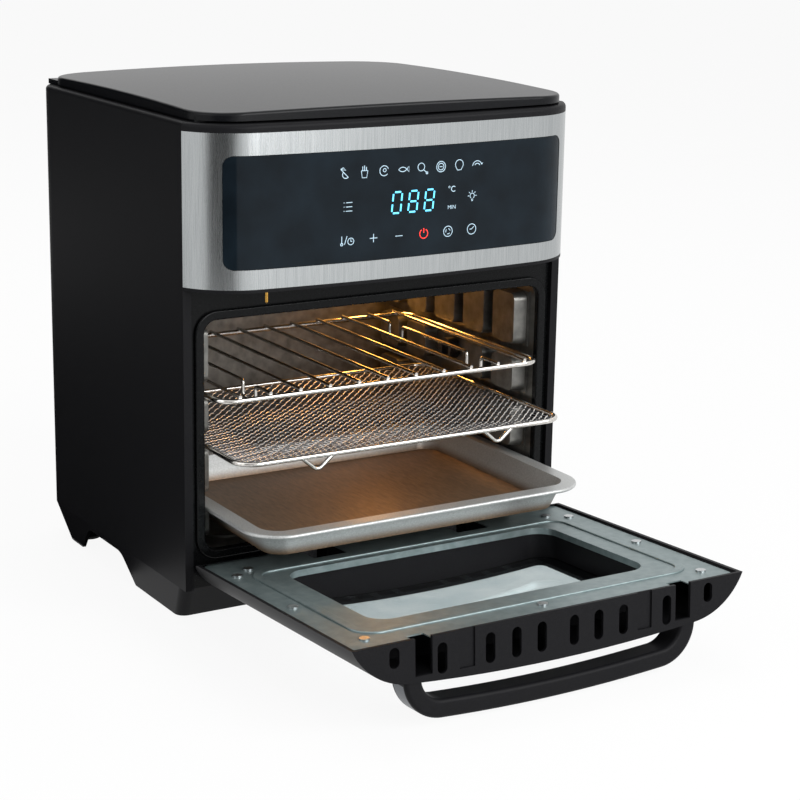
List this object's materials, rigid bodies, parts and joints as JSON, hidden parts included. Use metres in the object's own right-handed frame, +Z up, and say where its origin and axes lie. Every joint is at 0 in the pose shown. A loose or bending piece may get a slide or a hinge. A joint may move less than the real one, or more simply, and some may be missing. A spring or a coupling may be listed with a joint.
{
  "type": "air fryer oven",
  "caption": "Tall counter-top air-fryer oven with a bowed touch fascia, a bottom-hinged glazed door, a wire rack, a mesh basket and a drip tray on pressed guides.",
  "frame": {"origin": "on the table under the middle of the body, between its four feet", "axes": "+X to the right seen from the front, -Y towards the front, +Z up"},
  "size_m": [0.32, 0.522, 0.3787],
  "materials": {
    "black_abs": "moulded ABS, fine satin texture",
    "satin_cover": "moulded, satin lacquer",
    "foot_rubber": "moulded",
    "fascia_steel": "brushed stainless sheet",
    "panel_lens": "polished acrylic lens",
    "frame_enamel": "black enamel on pressed steel",
    "liner_steel": "aluminised sheet, pressed",
    "bright_wire": "drawn wire, polished",
    "tray_nonstick": "grey non-stick coating on pressed steel",
    "door_sheet": "zinc-coated sheet, pressed",
    "clear_glass": "tempered, polished",
    "handle_silver": "satin anodised strip",
    "screw_zinc": "zinc plated",
    "hinge_steel": "stamped",
    "heater_sheath": "drawn tube, heat tinted",
    "fan_alloy": "stamped",
    "motor_iron": "laminated stack, varnished",
    "board_green": "solder resist",
    "lamp_can": "drawn can",
    "black_nylon": "moulded nylon",
    "plunger_brass": "turned"
  },
  "bodies": {
    "oven_body": {"base_tray": "black_abs", "side_panel_left": "black_abs", "side_panel_right": "black_abs", "rear_panel": "black_abs", "upper_housing": "black_abs", "fascia_carrier": "black_abs", "top_cover": "satin_cover", "foot_pads": "foot_rubber", "steel_fascia": "fascia_steel", "control_panel": "panel_lens", "front_frame": "frame_enamel", "liner_left": "liner_steel", "liner_right": "liner_steel", "liner_back": "liner_steel", "liner_floor": "liner_steel", "liner_ceiling": "liner_steel", "rack_guides_left": "liner_steel", "rack_guides_right": "liner_steel", "fan_guard": "liner_steel", "fan_shroud": "liner_steel", "spit_rest": "liner_steel", "lamp_cover": "clear_glass", "lamp_bulb": "clear_glass", "rear_screws": "screw_zinc", "hinge_arm_left": "hinge_steel", "hinge_arm_right": "hinge_steel", "motor_bracket": "hinge_steel", "temperature_probe": "hinge_steel", "heater_element": "heater_sheath", "fan_motor": "motor_iron", "rotisserie_motor": "motor_iron", "display_board": "board_green", "power_board": "board_green", "lamp_holder": "lamp_can", "door_switch": "black_nylon", "cord_gland": "black_nylon"},
    "fan_rotor": {"convection_fan": "fan_alloy", "fan_shaft": "hinge_steel", "cooling_fan": "fan_alloy"},
    "spit_drive": {"rotisserie_coupling": "hinge_steel"},
    "plunger": {"switch_plunger": "plunger_brass"},
    "door": {"door_shell": "black_abs", "door_glass": "clear_glass", "door_inner_panel": "door_sheet", "door_screws": "screw_zinc", "door_handle": "black_abs", "handle_trim": "handle_silver", "hinge_pins": "hinge_steel"},
    "rack": {"wire_rack": "bright_wire"},
    "basket": {"basket_rim": "bright_wire", "basket_mesh": "bright_wire"},
    "tray": {"drip_tray": "tray_nonstick"}
  },
  "joints": [
    {"name": "door_hinge", "type": "hinge", "parent": "oven_body", "child": "door", "pos_m": [0, -0.1375, 0.0325], "axis": [-1, 0, 0], "range_deg": [0, 87]},
    {"name": "rack_slide", "type": "slide", "parent": "oven_body", "child": "rack", "axis": [0, 1, 0], "range_m": [0, 0.0202]},
    {"name": "basket_slide", "type": "slide", "parent": "oven_body", "child": "basket", "axis": [0, 1, 0], "range_m": [0, 0.0522]},
    {"name": "tray_slide", "type": "slide", "parent": "oven_body", "child": "tray", "axis": [0, 1, 0], "range_m": [0, 0.0862]},
    {"name": "fan_spin", "type": "hinge", "parent": "oven_body", "child": "fan_rotor", "pos_m": [0, 0.003, 0.26], "axis": [0, 0, 1], "continuous": true},
    {"name": "spit_spin", "type": "hinge", "parent": "oven_body", "child": "spit_drive", "pos_m": [0.14, 0.003, 0.1518], "axis": [1, 0, 0], "continuous": true},
    {"name": "plunger_slide", "type": "slide", "parent": "oven_body", "child": "plunger", "axis": [0, 0, 1], "range_m": [0, 0.003], "stiffness_N_per_m": 300}
  ],
  "couplings": [
    {"joint": "rack_slide", "follows": "door_hinge", "m_per_rad": 0.013171},
    {"joint": "basket_slide", "follows": "door_hinge", "m_per_rad": 0.034246},
    {"joint": "tray_slide", "follows": "door_hinge", "m_per_rad": 0.056637}
  ]
}
